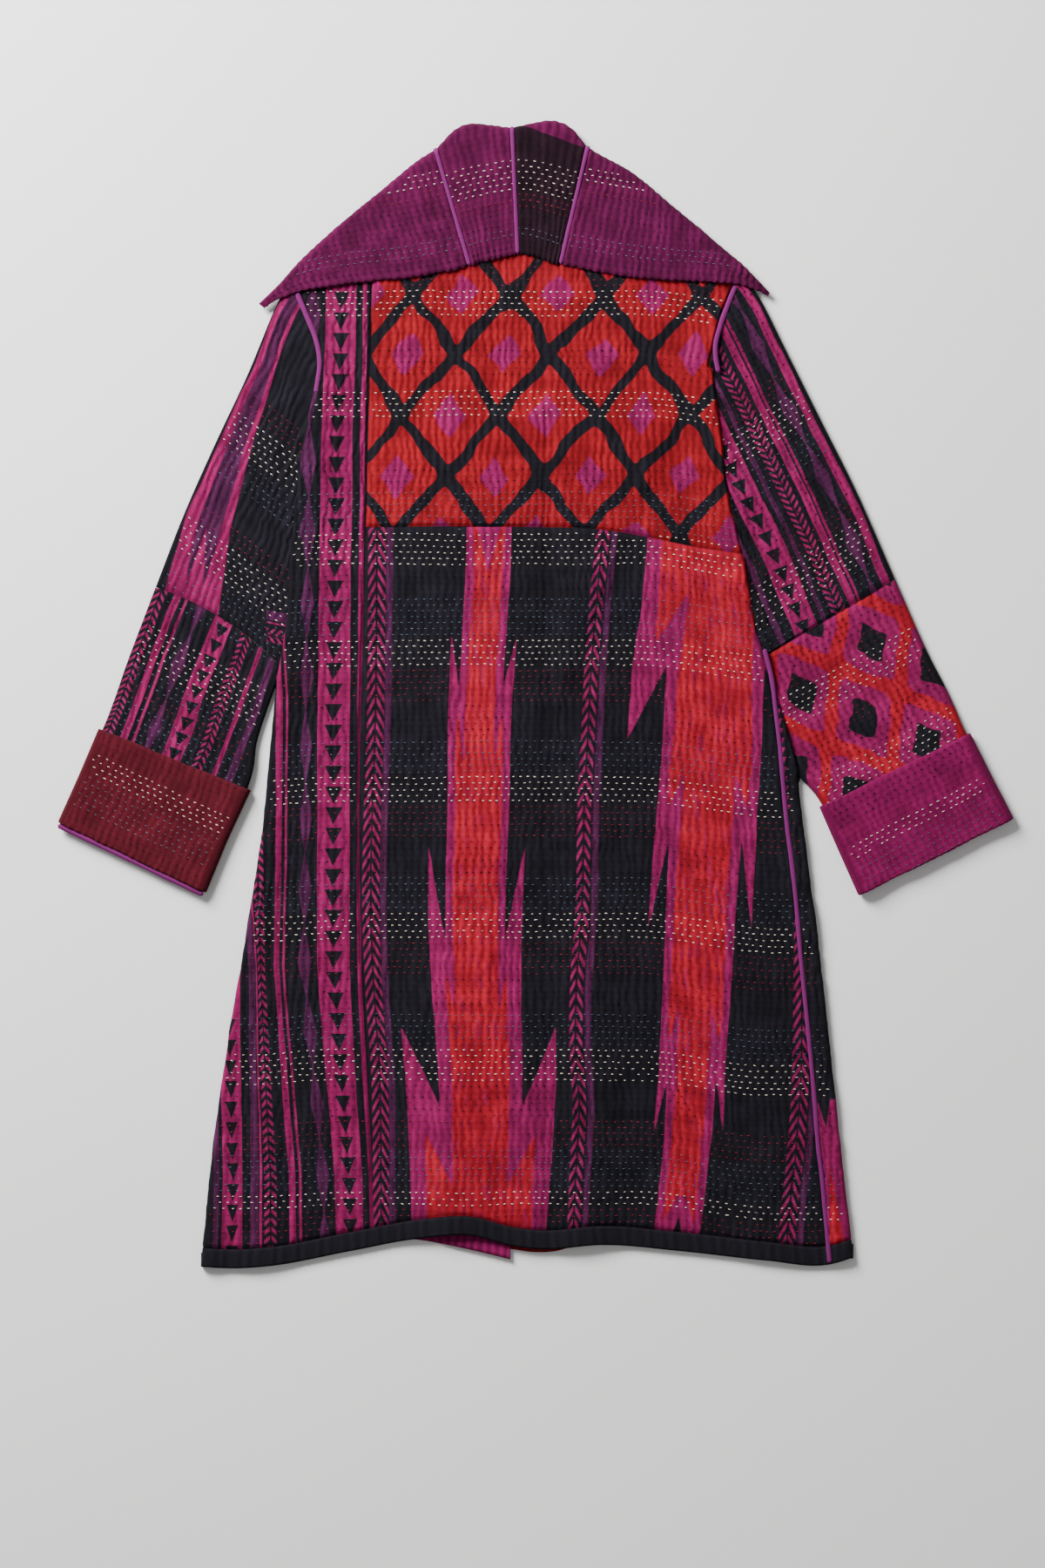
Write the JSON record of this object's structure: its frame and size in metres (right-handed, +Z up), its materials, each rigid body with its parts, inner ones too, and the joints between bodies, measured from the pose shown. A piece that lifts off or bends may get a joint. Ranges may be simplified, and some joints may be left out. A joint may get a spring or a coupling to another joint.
{
  "type": "kantha coat",
  "caption": "Long quilted coat with a wide shawl collar and turned-back cuffs, laid flat on its front.",
  "frame": {"origin": "bottom centre of the box, on the surface the coat lies on", "axes": "+Y along the coat from the hem to the collar, +X across it towards the wearer's right side, +Z up from the surface"},
  "size_m": [0.8988, 1.0804, 0.0113],
  "materials": {
    "printed_cloth": "matte",
    "lining_fuchsia": "matte",
    "lining_red": "matte",
    "brick_cloth": "matte",
    "magenta_cloth": "matte",
    "plum_cloth": "matte",
    "band_cloth": "matte",
    "thread": "satin",
    "seam_thread": "satin"
  },
  "bodies": {
    "root": {"back_strip_left": "printed_cloth", "back_yoke": "printed_cloth", "back_skirt": "printed_cloth", "front_side_right": "printed_cloth", "hem_band": "band_cloth", "front_left": "lining_fuchsia", "front_right": "lining_red", "sleeve_left_upper": "printed_cloth", "sleeve_left_lower": "printed_cloth", "sleeve_right_upper": "printed_cloth", "sleeve_right_lower": "printed_cloth", "cuff_left": "brick_cloth", "cuff_right": "magenta_cloth", "collar_wing_left": "magenta_cloth", "collar_wedge_left": "magenta_cloth", "collar_wedge_dark": "plum_cloth", "collar_wing_right": "magenta_cloth", "lapel_left": "magenta_cloth", "lapel_right": "magenta_cloth"}
  },
  "joints": []
}
